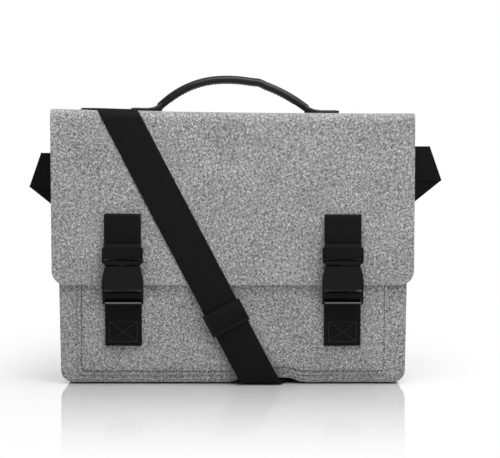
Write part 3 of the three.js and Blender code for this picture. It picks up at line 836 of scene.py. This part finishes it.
# Front panel: a crowned sheet from the foot to its top edge, which hangs a
# little between the gussets.
opening = {"sag": 0.004, "from": 0.2, "over": 0.06}
z = rowsUp(0, panels["corner"], frontHi[2], 10, 50)
grid = points(bodyHalf(z)[:, None] * u, frontLo[1], z[:, None])
grid[..., 2] -= opening["sag"] * (1 - u**2) * smooth((z[:, None] - opening["from"]) / opening["over"])
frontSheet = felted("felt_front", settle(raised(grid)), panels["felt"], -1)
dress(frontSheet, felt, "felt", "bag", ["front_panel"])
flat = 2 * frontHi[0], float(frontHi[2])
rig.sheet(frontSheet, flat=flat, held="stretched", rests_on=["base_panel"])

# Gusset and base: one strip round the sides and foot, its sides drawn in
# between the panels towards the top and its foot lifted over the strap.
gusset = {"tuck": 0.007, "tuckedFrom": 0.24, "overlap": 0.0002, "columns": 22}
corner = panels["corner"]
side = np.linspace(backHi[2], corner, 46)
bend = np.linspace(0, math.pi / 2, 12)[1:]
base = np.linspace(-1, 1, 70)[1:-1]
reach = backHi[0] - panels["taper"] - corner
left, right = -reach - corner * np.cos(bend), reach + corner * np.sin(bend)[:-1]
xs = np.concatenate([-bodyHalf(side), left, base * reach, right, bodyHalf(side[::-1])])
left, right = corner - corner * np.sin(bend), corner - corner * np.cos(bend)[:-1]
zs = np.concatenate([side, left, 0 * base, right, side[::-1]])
y = np.linspace(frontHi[1] - gusset["overlap"], backLo[1] + gusset["overlap"], gusset["columns"])
drawn = np.cos(np.linspace(-1, 1, gusset["columns"]) * math.pi / 2)[None] ** 2
tuck = gusset["tuck"] * smooth(zs / gusset["tuckedFrom"])[:, None] * drawn
grid = points(xs[:, None] - np.sign(xs)[:, None] * tuck, y, zs[:, None])
gussetStrip = felted("felt_gusset_and_base", settle(raised(grid)), panels["felt"], -1)
dress(gussetStrip, felt, "felt", "bag", ["gusset_left", "gusset_right", "base_panel"])
flat = float(y[-1] - y[0]), float(distances(points(xs, 0, zs))[-1])
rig.sheet(gussetStrip, flat=flat, held="stretched", rests_on=["front_panel", "back_panel"])
print("felt made")

# Slip pocket, stitched at its sides and foot.
pocket = {
    "felt": 0.0027,
    "corner": 0.008,
    "inset": 0.0045,  # of its stitches
    "swell": 0.0017,
    "sewn": (0.05, 0.009),  # the swell grows over this share aside and this height
}
z = rowsUp(pocketLo[2], pocket["corner"], pocketHi[2], 8, 40)
half = pocketHi[0] - roundedIn(z, pocketLo[2], pocket["corner"])
grid = points(half[:, None] * u, pocketLo[1], z[:, None])
fromSide, fromFoot = pocket["sewn"]
inside = smooth((1 - np.abs(u)) / fromSide)[None] * smooth((z - pocketLo[2]) / fromFoot)[:, None]
grid[..., 1] += pocket["swell"] * (1 - inside)
pocketSheet = felted("felt_pocket", settle(raised(grid)), pocket["felt"], -1)
dress(pocketSheet, felt, "felt", "bag", ["front_pocket"])
flat = 2 * pocketHi[0], float(pocketHi[2] - pocketLo[2])
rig.sheet(pocketSheet, flat=flat, held="stretched", rests_on=["front_panel"])


# A rounded U in (x, z) at a depth y, for a row of stitches, and its outward way.
def seamU(halfWidth, foot, top, corner, y):
    steps = 40
    turn = np.linspace(0, math.pi / 2, 8)
    sinks, runs = corner * (1 - np.sin(turn)), corner * (1 - np.cos(turn))
    level = np.linspace(-1, 1, steps * 2)[1:-1]
    upright = np.full(steps, halfWidth)
    x = [-upright, -halfWidth + runs, level * (halfWidth - corner), halfWidth - sinks, upright]
    down, up = np.linspace(top, foot + corner, steps), np.linspace(foot + corner, top, steps)
    z = [down, foot + sinks, 0 * level + foot, foot + runs, up]
    path = points(np.concatenate(x), y, np.concatenate(z))
    return path, repeated(facing, len(path))


# A row of grey stitches in the felt.
def sew(name, path, out, **thread):
    return dress(stitches(name, path, out, 0.0031, **thread), greyThread, "felt", "bag")


seam = {"top": 0.004, "corner": 0.006, "depth": 0.55}
backSeam = {"inset": 0.0085, "foot": 0.0042, "top": 0.006, "corner": 0.011}
half, low = pocketHi[0] - pocket["inset"], pocketLo[2] + pocket["inset"]
depth = pocketLo[1] + pocket["swell"] * seam["depth"]
path, out = seamU(half, low, pocketHi[2] - seam["top"], seam["corner"], depth)
sew("stitching_pocket", raised(path), out, length=0.0027, thread=0.00045, lift=0.0003)
half, top = backHi[0] - backSeam["inset"], backHi[2] - backSeam["top"]
path, out = seamU(half, backSeam["foot"], top, backSeam["corner"], backHi[1])
sew("stitching_back_edge", raised(path), -out)

# Board and divider inside: the divider is a low crown, sin(pi u) sin(pi v) high.
dress(moulded("base_board_plain", "base_board", 0.0008), boardPlastic, "board", "bag", ["base_board"])
divider = {"felt": 0.003, "crown": 0.0012}
lo, hi = boxOf("laptop_divider")
v = np.linspace(0, 1, 40)[:, None]
crown = np.sin(v * math.pi) * np.sin(np.linspace(0, math.pi, 60))
depth = lo[1] + divider["crown"] - divider["crown"] * crown
grid = points(np.linspace(lo[0], hi[0], 60), depth, lo[2] + (hi[2] - lo[2]) * v)
dividerSheet = felted("divider_padded", grid, divider["felt"], -1)
dress(dividerSheet, lining, "lining_felt", "bag", ["laptop_divider"])
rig.padded(dividerSheet, 0.3)
print("pocket, stitches, board and divider made")


strap = {
    "width": 0.038,
    "thickness": 0.0016,
    "topLean": 18.0,
    "blend": 0.03,
    "crown": 0.00025,
    "gap": 0.0003,  # off the flap
    "turns": (0.006, 0.0095, 0.007, 0.004),  # radii at its four corners
    "overTabs": 0.0019,
    "tabEnds": (0.028, 0.062),  # how far in from each end the tabs reach
    "tabRamp": 0.03,
}
doubled = {"narrower": 0.001, "thickness": 0.0015, "below": 0.0018}  # the return layer


# The strap's way in (y, z), from below the left tab up behind, over the top,
# down the front, below and up behind again, with the turn at each corner: straight
# lines between quarter turns.
def strapWay():
    yBack, yFront = behindLo[1], flapLo[1] - strap["gap"]
    top, floor = strapHi[2] - strap["thickness"], underLo[2] + strap["thickness"]
    corners = [(yBack, top), (yFront, top), (yFront, floor), (yBack, floor)]
    places, angles = [np.array([[yBack, behindLo[2]]])], [np.array([0.0])]
    for k, ((y, z), r) in enumerate(zip(corners, strap["turns"])):
        a = np.linspace(90 * k, 90 * k + 90, 13) * math.pi / 180
        first = 90 * k * math.pi / 180
        cy = y - r * (math.cos(first) - math.sin(first))
        cz = z - r * (math.sin(first) + math.cos(first))
        start = np.array([cy + r * math.cos(first), cz + r * math.sin(first)])
        last = places[-1][-1]
        steps = max(int(np.linalg.norm(start - last) / 0.006), 2)
        t = np.linspace(0, 1, steps)[1:-1, None]
        places.append(last + (start - last) * t)
        angles.append(np.full(len(t), first))
        places.append(np.stack([cy + r * np.cos(a), cz + r * np.sin(a)], -1))
        angles.append(a)
    last = places[-1][-1]
    t = np.linspace(0, 1, 40)[1:, None]
    places.append(last + (np.array([yBack, underHi[2]]) - last) * t)
    angles.append(np.full(len(t), 2 * math.pi))
    return np.concatenate(places), np.concatenate(angles)


yz, angle = strapWay()
s = distances(yz)
inFront = (angle > 3.0) & (angle < 3.3)
# How far along the strap a height on the bag's front lies.
onFront = lambda height: np.interp(-height, -yz[inFront, 1], s[inFront])
foldAt = s[np.argmin(np.abs(angle - math.pi) + (yz[:, 1] < 0.27))]
topSlope = math.tan(math.radians(strap["topLean"]))
slopes = topSlope + (tiltSlope - topSlope) * smooth((s - foldAt + strap["blend"]) / strap["blend"])
middleX = np.concatenate([[0], np.cumsum((slopes[1:] + slopes[:-1]) / 2 * np.diff(s))])
middleX += sliderMiddle[0] - np.interp(onFront(sliderMiddle[2]), s, middleX)
fromStart, fromEnd = strap["tabEnds"]
overLeft = 1 - smooth((s - fromStart) / strap["tabRamp"])
overRight = smooth((s - s[-1] + fromEnd) / strap["tabRamp"])
strapPath = points(middleX, yz[:, 0] + strap["overTabs"] * (overLeft + overRight), yz[:, 1])
strapOut = points(0, np.cos(angle), np.sin(angle))
strapAcross = np.array([-1.0, 0, 0]) * np.sqrt(1 + slopes**2)[:, None]
strapLength = distances(strapPath)
# The cloth's own length between two distances.
between = lambda a, b: float(np.interp(b, s, strapLength) - np.interp(a, s, strapLength))


# One stretch of the strap between two distances, at an offset outwards.
def strapPiece(name, start, end, offset=0.0, width=strap["width"], thickness=strap["thickness"]):
    count = max(int((end - start) / 0.004), 4)
    inner = s[(s > start + 0.001) & (s < end - 0.001)]
    at = np.unique(np.concatenate([np.linspace(start, end, count), inner]))
    out = unit(sampled(strapOut, s, at))
    section = bandProfile(width, thickness, strap["crown"])
    return swept(name, sampled(strapPath, s, at) + out * offset, sampled(strapAcross, s, at), out, section)


# A stretch of the return layer, below the strap.
def returnPiece(name, start, end):
    narrow = strap["width"] - doubled["narrower"]
    return strapPiece(name, start, end, -doubled["below"], narrow, doubled["thickness"])


# The stretches in front bend between the slider and the foot of the bag.
def hungInFront(piece):
    dress(piece, webbing, "webbing")
    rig.blend(piece, "flap", "bag", (0, 0, cut), (0, 0, 0.004))
    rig.sheet(piece, flat=(strap["width"], between(cutAt, underAt)), held="draped", rests_on=[pocketSheet])


cut = sliderMiddle[2]
cutAt = onFront(cut)
underAt = s[np.argmin(np.abs(angle - 1.5 * math.pi) + np.abs(yz[:, 0] + 0.03))]
upperStrap = strapPiece("webbing_over_flap", 0, cutAt - 0.0001)
dress(upperStrap, webbing, "webbing", nodes=["strap_behind_left", "strap_over_flap"])
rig.blend(upperStrap, "bag", "flap", hinge["start"], hinge["end"])
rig.sheet(upperStrap, flat=(strap["width"], between(0, cutAt)), held="draped", rests_on=[flapSheet])
lowerStrap = strapPiece("webbing_lower_front", cutAt + 0.0001, underAt)
hungInFront(lowerStrap)
underStrap = strapPiece("webbing_under_bag", underAt + 0.0001, s[-1])
dress(underStrap, webbing, "webbing", "bag", ["strap_under_bag"])
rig.sheet(underStrap, flat=(strap["width"], between(underAt, s[-1])), held="draped", rests_on=[gussetStrip])
returnEnd = s[-1] - (underHi[2] - boxOf("strap_return")[1][2])
hungInFront(returnPiece("webbing_return_front", cutAt + 0.0001, underAt))
returnUnder = returnPiece("webbing_return_under", underAt + 0.0001, returnEnd)
dress(returnUnder, webbing, "webbing", "bag", ["strap_return"])
flat = strap["width"], between(underAt, returnEnd)
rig.sheet(returnUnder, flat=flat, held="draped", rests_on=[gussetStrip])
print("strap made")

# Side tabs: webbing that leaves the back seam level, is folded over at its tip
# along a slanting line, and goes down behind the bag.
tab = {
    "tip": {"left": (-0.2169, 0.2230), "right": (0.2208, 0.2302)},
    "fold": 19.5,  # degrees, the fold line off upright
    "root": {"left": 0.050, "right": 0.062},
    "tail": 0.054,
    "thickness": 0.0011,
    "radius": 0.0005,
    "gap": 0.0003,
}


# The fold: a point a distance d beyond the line rolls round a radius r, so it
# is r sin(d/r) beyond it, then comes back at pi r - d, one layer further out. The
# rows are slanted first, so that they run beside the line.
def foldedOver(p, tip, sign):
    tilt, r = math.radians(tab["fold"]), tab["radius"]
    normal = np.array([sign * math.cos(tilt), math.sin(tilt)])
    level = p[:, [0, 2]]
    level[:, 0] -= sign * math.tan(tilt) * (p[:, 2] - tip[1])
    d = (level - tip) @ normal
    rolled = np.clip(d / r, 0, math.pi)
    out = -p[:, 1]
    beyond = (r + out) * np.sin(rolled) + np.minimum(d, 0) - np.maximum(d - math.pi * r, 0)
    moved = level + (beyond - d)[:, None] * normal
    y = r - (r + out) * np.cos(rolled) + (backHi[1] + tab["gap"] + tab["thickness"])
    return points(moved[:, 0], y, moved[:, 1])


for name, sign in (("left", -1), ("right", 1)):
    tip = np.array(tab["tip"][name])
    rolled = math.pi * tab["radius"] / math.cos(math.radians(tab["fold"]))
    run = np.concatenate(
        [
            np.linspace(-tab["root"][name], -0.0005, 26),
            np.linspace(0, rolled, 11),
            np.linspace(rolled + 0.0005, tab["tail"], 30),
        ]
    )
    path = points(tip[0] + sign * run, 0, tip[1])
    out, across = repeated(facing, len(run)), repeated((0, 0, 1), len(run))
    section = bandProfile(strap["width"], tab["thickness"])
    piece = swept(f"webbing_side_tab_{name}", path, across, out, section, False)
    reshape(piece.data, lambda p: foldedOver(p, tip, sign))
    outwards(piece)
    dress(piece, webbing, "webbing", "bag", [f"side_tab_{name}"])
    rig.sheet(piece, flat=(strap["width"], float(run[-1] - run[0])), held="folded", rests_on=[flapSheet])
print("tabs made")

closure = {
    "width": 0.0386,
    "thickness": 0.0015,
    "turn": 0.0012,
    "cover": 0.0016,  # the frame's own webbing, in front of the socket
    "gap": 0.0003,  # between cloth and plastic
    "plugBar": 0.0082,  # from the plug's top down to the foot of its bar
    "socketBar": 0.0079,  # from the socket's foot up to its bar
    "sewn": (0.005, 0.026),  # the box stitch lies between these, from the end
}

# Buckle halves, release arms and the slider's frame: the frame's own solids,
# with rounded edges.
for side in ("left", "right"):
    for name, body in ((f"plug_{side}", f"plug_{side}"), (f"socket_{side}", "bag")):
        dress(moulded(f"buckle_{name}", name, 0.0009), plastic, "buckle_plastic", body, [name])
    for place in ("inner", "outer"):
        arm = moulded(f"buckle_arm_{side}_{place}", f"release_arm_{side}_{place}", 0.0007)
        dress(arm, plastic, "buckle_plastic", f"arm_{side}_{place}", [f"release_arm_{side}_{place}"])
sliderBody = moulded("slider_three_bar", "slider_frame", 0.0009)
dress(sliderBody, plastic, "buckle_plastic", "slider", ["slider_frame"])


# A polished round rail along the front of a bar, between two places.
def rail(name, start, end, radius, body):
    t = np.linspace(0, 1, 24)[:, None]
    path = np.array(start) * (1 - t) + np.array(end) * t
    out = repeated(facing, len(path))
    across = unit(np.cross(out, np.gradient(path, axis=0)))
    piece = swept(name, path, across, out, bandProfile(2 * radius, 2 * radius))
    return dress(piece, polished, "buckle_plastic", body)


rails = {"radius": 0.0012, "foot": 0.0017, "lip": 0.0178, "short": 0.0018, "bed": 0.0004}
for side in ("left", "right"):
    lo, hi = boxOf(f"socket_{side}")
    ends = lo[0] + rails["short"], hi[0] - rails["short"]
    y = boxOf(f"lower_webbing_{side}")[0][1] + closure["cover"] + rails["bed"] + closure["gap"]
    for k, height in enumerate((rails["foot"], rails["lip"])):
        places = [(x, y - rails["radius"], lo[2] + height) for x in ends]
        rail(f"buckle_rail_{side}_{k + 1}", *places, rails["radius"], "bag")
print("buckles made")


# A path in (y, z) with its corners turned as quadratic curves, as places and outward
# normals: outward is to the left of the way it goes.
def turned(corners, radius, step=0.002):
    places = [np.array(corners[0], float)]
    for before, at, after in zip(corners[:-2], corners[1:-1], corners[2:]):
        before, at, after = (np.array(c, float) for c in (before, at, after))
        a, b = unit(before - at), unit(after - at)
        bend = math.acos(float(np.clip(a @ b, -1, 1)))
        room = [0.49 * np.linalg.norm(before - at), 0.49 * np.linalg.norm(after - at)]
        back = min(radius / math.tan(bend / 2), *room)
        t = np.linspace(0, 1, 7)[:, None]
        first, last = at + a * back, at + b * back
        places.extend(first * (1 - t) ** 2 + 2 * at * t * (1 - t) + last * t**2)
    places.append(np.array(corners[-1], float))
    places = np.array(places)
    along = distances(places)
    even = np.linspace(0, along[-1], max(int(along[-1] / step), 8))
    at = np.unique(np.concatenate([even, along]).round(7))
    path = sampled(places, along, at)
    ahead = unit(np.gradient(path, at, axis=0))
    return path, np.stack([-ahead[:, 1], ahead[:, 0]], -1)


# Closure webbing that follows a way in (y, z) at one place across the bag.
def closureWebbing(name, x, corners):
    path, normal = turned(corners, closure["turn"])
    across = repeated((1, 0, 0), len(path))
    section = bandProfile(closure["width"], closure["thickness"], 0.0001)
    places, out = points(x, path[:, 0], path[:, 1]), points(0, normal[:, 0], normal[:, 1])
    return swept(name, places, across, out, section), float(distances(path)[-1])


# A box with a cross in it, sewn through the webbing, in (x, z).
def boxStitch(name, x, y, low, high, half=0.0145):
    corners = [(-half, low), (half, low), (half, high), (-half, high), (-half, low)]
    corners = np.array(corners + [(half, high), (-half, high), (half, low)])
    parts = []
    for k, (a, b) in enumerate(zip(corners[:-1], corners[1:])):
        line = a + (b - a) * np.linspace(0, 1, 20)[:, None]
        path = points(x + line[:, 0], y, line[:, 1])
        parts.append(stitches(f"{name}_{k}", path, repeated(facing, 20), 0.0026, 0.0022, 0.0003))
    return joined(name, parts)


low, high = closure["sewn"]
for side in ("left", "right"):
    patchLo, patchHi = boxOf(f"upper_webbing_{side}")
    x = (patchLo[0] + patchHi[0]) / 2
    plugLo, plugHi = boxOf(f"plug_{side}")
    t = closure["thickness"]
    gap = closure["gap"]
    face = patchHi[1]
    barTop, barFoot = plugHi[2], plugHi[2] - closure["plugBar"]
    front = plugLo[1] - gap
    corners = [
        (face, patchHi[2]),
        (face, barFoot - 0.0004 - t),
        (front - t, barFoot - 0.0004 - t),
        (front - t, barTop + gap + t),
        (face - 2 * t - 0.0002, barTop + 0.0012 + t),
        (face - 2 * t - 0.0001, barTop + 0.006),
        (face - 2 * t - 0.0001, patchHi[2] - 0.0008),
    ]
    piece, length = closureWebbing(f"webbing_upper_{side}", x, corners)
    dress(piece, webbing, "webbing", nodes=[f"upper_webbing_{side}"])
    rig.sheet(piece, flat=(closure["width"], length), held="folded", rests_on=[flapSheet])
    sewnEnd, loopEnd = (x, float(face), float(patchHi[2]) - 0.001), (x, float(face), float(barTop) + 0.001)
    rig.blend(piece, "flap", f"plug_{side}", sewnEnd, loopEnd)
    seamY = face - 2 * t - 0.0001
    sewn = boxStitch(f"stitching_upper_{side}", x, seamY, patchHi[2] - high, patchHi[2] - low)
    dress(sewn, blackThread, "webbing")
    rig.blend(sewn, "flap", f"plug_{side}", sewnEnd, loopEnd)
    lowLo, lowHi = boxOf(f"lower_webbing_{side}")
    socketLo = boxOf(f"socket_{side}")[0]
    back = lowHi[1]
    frameFront = lowLo[1] + closure["cover"]
    top = lowHi[2]
    barLow = socketLo[2] + closure["socketBar"]
    corners = [
        (back - t, lowLo[2] + 0.001),
        (back - t, socketLo[2] - 0.002),
        (back - t - 0.0012, top),
        (frameFront - t, top),
        (frameFront - t, barLow - gap - t),
        (frameFront + 0.0052, barLow - 0.0006 - t),
        (back - 2 * t - 0.0012, barLow - 0.006),
        (back - 2 * t - 0.0002, socketLo[2] - 0.006),
        (back - 2 * t - 0.0002, lowLo[2]),
    ]
    piece, length = closureWebbing(f"webbing_lower_{side}", x, corners)
    dress(piece, webbing, "webbing", "bag", [f"lower_webbing_{side}"])
    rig.sheet(piece, flat=(closure["width"], length), held="folded", rests_on=[pocketSheet])
    seamY = back - 3 * t - 0.0002
    sewn = boxStitch(f"stitching_lower_{side}", x, seamY, lowLo[2] + low, lowLo[2] + high)
    dress(sewn, blackThread, "webbing", "bag")
print("closures made")

# The strap's sewn end, humped over the slider's middle bar by 1 - t^2.
slider = {
    "halfLength": 0.0092,
    "hump": 0.0026,
    "width": 0.0376,
    "thickness": 0.0014,
    "start": 0.0006,  # height of its ends
    "lip": 0.22,  # share of its half length over which it rises
}
ahead = np.array(strapUp, float)
across = repeated(unit(np.cross(ahead, facing)), 41)
t = np.linspace(-1, 1, 41)
faceY = sliderHi[1] + 0.0003
rise = sliderHi[1] - sliderLo[1] + 0.0004 + slider["hump"] * (1 - t**2)
lip = smooth((1 - np.abs(t)) / slider["lip"])
depth = slider["start"] + (rise - slider["start"]) * lip
middle = np.array([sliderMiddle[0], faceY, sliderMiddle[2]])
path = middle + ahead * (t * slider["halfLength"])[:, None] + facing * depth[:, None]
out = unit(np.cross(across, np.gradient(path, axis=0)))
out *= np.sign(-out[20, 1])
loop = swept("webbing_slider_loop", path, across, out, bandProfile(slider["width"], slider["thickness"]))
dress(loop, webbing, "webbing", "slider", ["slider_loop"])
flat = slider["width"], float(distances(path)[-1])
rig.sheet(loop, flat=flat, held="folded", rests_on=["slider_frame"])
print("slider made")

# Handle: leather rolled round a core, oval in section, flattened towards its
# feet, with a sewn seam below. Its middle rises by 1 - |t|^2.2, with one small kink.
handle = {
    "thick": 0.0041,
    "width": 0.0062,
    "kink": 0.0012,
    "kinkAt": 0.4,
    "kinkLong": 0.07,
    "lean": 0.06,
    "narrow": 0.34,  # of its width, at its ends
    "seam": 0.10,
}
gripLo, gripHi = boxOf("handle_grip")
axisZ = joints["handle_swing"]["pos_m"][2]
span, rise = (gripHi[0] - gripLo[0]) / 2 - 0.0026, gripHi[2] - handle["thick"] - axisZ
t = np.linspace(-1, 1, 91)
middle = points((t - handle["lean"] * (1 - t**2)) * span, 0, axisZ + rise * (1 - np.abs(t) ** 2.2))
middle[:, 2] += handle["kink"] * np.exp(-(((t - handle["kinkAt"]) / handle["kinkLong"]) ** 2))
ahead = unit(np.gradient(middle, axis=0))
up = unit(np.cross(ahead, repeated((0, 1, 0), 91)))
up *= np.sign(up[45, 2])
ends = smooth((np.abs(t) - 0.8) / 0.18)
a = np.linspace(0, 2 * math.pi, 28, endpoint=False)
wide = handle["width"] * (1 - handle["narrow"] * ends)
tall = handle["thick"] * (1 - 0.05 * ends)
pinch = 1 + handle["seam"] * np.exp(-(((a - 1.5 * math.pi) / 0.22) ** 2))
aside = (wide[:, None] * np.cos(a)[None] * pinch)[..., None]
above = (tall[:, None] * np.sin(a)[None] * pinch)[..., None]
grid = middle[:, None] + np.array([0, 1.0, 0]) * aside + up[:, None] * above
grip = closedTube("leather_handle", settle(grid))
dress(grip, leather, "handle_leather", "handle", ["handle_grip"])
under = middle - up * (tall * 1.08)[:, None]
sewn = stitches("stitching_handle", under[6:-6], -up[6:-6], 0.0036, 0.0028, 0.00035)
dress(sewn, blackThread, "handle_leather", "handle")

# Leather tabs at its feet: tapered, thicker where the handle goes in, and domed in
# section, with a row of stitches round the rim.
handleTab = {
    "under": 0.0062,  # how far it reaches below the handle
    "longer": {"left": 0.0012, "right": 0.0052},
    "half": 0.0098,
    "low": 0.0029,
    "swell": 0.0070,
    "stitchInset": 0.0022,
}
thereAndBack = lambda v, w: np.concatenate([v[12:36], w[12:36][::-1]])
for name, sign in (("left", -1), ("right", 1)):
    lo, hi = boxOf(f"handle_tab_{name}")
    inner, outer = (hi[0], lo[0]) if sign < 0 else (lo[0], hi[0])
    inner -= sign * handleTab["under"]
    outer += sign * handleTab["longer"][name]
    a = np.linspace(0, 1, 40)
    xs = inner + (outer - inner) * a
    point = np.clip((a - 0.62) / 0.38, 0, 1)
    taper = np.sqrt(np.clip(1 - point**2.2 * 0.93, 0, 1)) * (0.7 + 0.3 * smooth(a / 0.35))
    wide = handleTab["half"] * taper
    high = handleTab["low"] + handleTab["swell"] * (1 - np.clip(a / 0.5, 0, 1)) ** 2.0
    b = np.linspace(0, 2 * math.pi, 33, endpoint=False)
    shape = lambda v, e: np.sign(v) * np.abs(v) ** e
    ys = wide[:, None] * shape(np.cos(b), 0.5)
    zs = lo[2] + high[:, None] * (0.5 + 0.5 * shape(np.sin(b), 0.7))
    piece = closedTube(f"leather_tab_{name}", settle(points(xs[:, None], ys, zs)))
    dress(piece, leather, "handle_leather", "flap", [f"handle_tab_{name}"])
    inset = wide - handleTab["stitchInset"]
    rim = points(thereAndBack(xs, xs), thereAndBack(inset, -inset), thereAndBack(lo[2] + high, lo[2] + high))
    up = repeated((0, 0, 1), len(rim))
    sewn = stitches(f"stitching_tab_{name}", rim, up, 0.0028, 0.0022, 0.0003, 0.0)
    dress(sewn, blackThread, "handle_leather", "flap")
print("handle made")

# Floor, lights and camera.
studio = {
    "distance": 1.6,
    "height": 0.292,
    "aim": (0.018, 0.165),
    "frameWide": 0.523,
    "fill": 0.24,
    "floorHalf": 6.0,
    "floorZ": -0.0004,
}
floorMesh = bpy.data.meshes.new("floor")
corners = [(x, y, studio["floorZ"]) for x, y in ((-1, -1), (1, -1), (1, 1), (-1, 1))]
corners = [(x * studio["floorHalf"], y * studio["floorHalf"], z) for x, y, z in corners]
floorMesh.from_pydata(corners, [], [(0, 1, 2, 3)])
floor = bpy.data.objects.new("floor", floorMesh)
bpy.context.scene.collection.objects.link(floor)

# The floor is a polished pale one near the bag, and fades to plain white away from it.
floorPaint = Paint("paleFloor")
floorPaint.set(Base_Color=(0.66, 0.66, 0.66, 1), Roughness=0.045, Specular_IOR_Level=0.55)
split = floorPaint.node("ShaderNodeSeparateXYZ", inputs=[floorPaint.place()])
aside, behind = (Value(floorPaint, split.outputs[k]) for k in (0, 1))
near = 1 - (behind * -1).between(0.06, 0.42)
near = near * (1 - behind.between(0.1, 0.5)) * (1 - aside.size().between(0.195, 0.32))
glow = floorPaint.node("ShaderNodeEmission", inputs={"Color": (1, 1, 1, 1)})
blend = floorPaint.node("ShaderNodeMixShader", inputs=[1 - near])
floorPaint.links.new(floorPaint.shader.outputs[0], blend.inputs[1])
floorPaint.links.new(glow.outputs[0], blend.inputs[2])
output = next(n for n in floorPaint.nodes if n.type == "OUTPUT_MATERIAL")
floorPaint.links.new(blend.outputs[0], output.inputs[0])
floorMesh.materials.append(floorPaint.material)
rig.stage(floor)

# The world is white to the camera and a dimmer fill for everything else.
world = bpy.context.scene.world or bpy.data.worlds.new("studio")
bpy.context.scene.world = world
world.use_nodes = True
links, nodes = world.node_tree.links, world.node_tree.nodes
background = nodes["Background"]
background.inputs[0].default_value = (1, 1, 1, 1)
seen = nodes.new("ShaderNodeLightPath").outputs["Is Camera Ray"]
level = nodes.new("ShaderNodeMapRange")
level.inputs["To Min"].default_value = studio["fill"]
level.inputs["To Max"].default_value = 1.0
links.new(seen, level.inputs["Value"])
links.new(level.outputs[0], background.inputs[1])


# A rectangular lamp that points at its target and isn't seen itself.
def softLight(name, place, target, size, power):
    data = bpy.data.lights.new(name, "AREA")
    data.shape = "RECTANGLE"
    data.size, data.size_y = size
    data.energy = power
    light = bpy.data.objects.new(name, data)
    light.location = place
    light.rotation_euler = (Vector(target) - Vector(place)).to_track_quat("-Z", "Y").to_euler()
    light.visible_camera = False
    bpy.context.scene.collection.objects.link(light)


softLight("topLight", (0.25, -0.4, 1.5), (0, 0, 0.1), (1.8, 1.2), 27)
softLight("keyLight", (1.2, -1.5, 1.3), (0, 0, 0.15), (0.9, 0.9), 13)
softLight("whiteCard", (0, 2.6, 0.7), (0, 0, 0.5), (5.0, 1.8), 29)
print("studio made")

camData = bpy.data.cameras.new("camera")
camData.sensor_width = 36
camera = bpy.data.objects.new("camera", camData)
bpy.context.scene.collection.objects.link(camera)
faceY = float(flapLo[1])
camera.location = (studio["aim"][0], faceY - studio["distance"], studio["height"])
aim = Vector((studio["aim"][0], faceY, studio["aim"][1]))
camera.rotation_euler = (aim - camera.location).to_track_quat("-Z", "Y").to_euler()
camData.lens = camData.sensor_width * (aim - camera.location).length / studio["frameWide"]
bpy.context.scene.camera = camera
bpy.context.scene.view_settings.view_transform = "Standard"

with open("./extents.json", "w") as out:
    boxes = {"cad": cadBox, "visual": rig.bounds()}
    json.dump({key: [list(corner) for corner in value] for key, value in boxes.items()}, out)
print("scene ready")
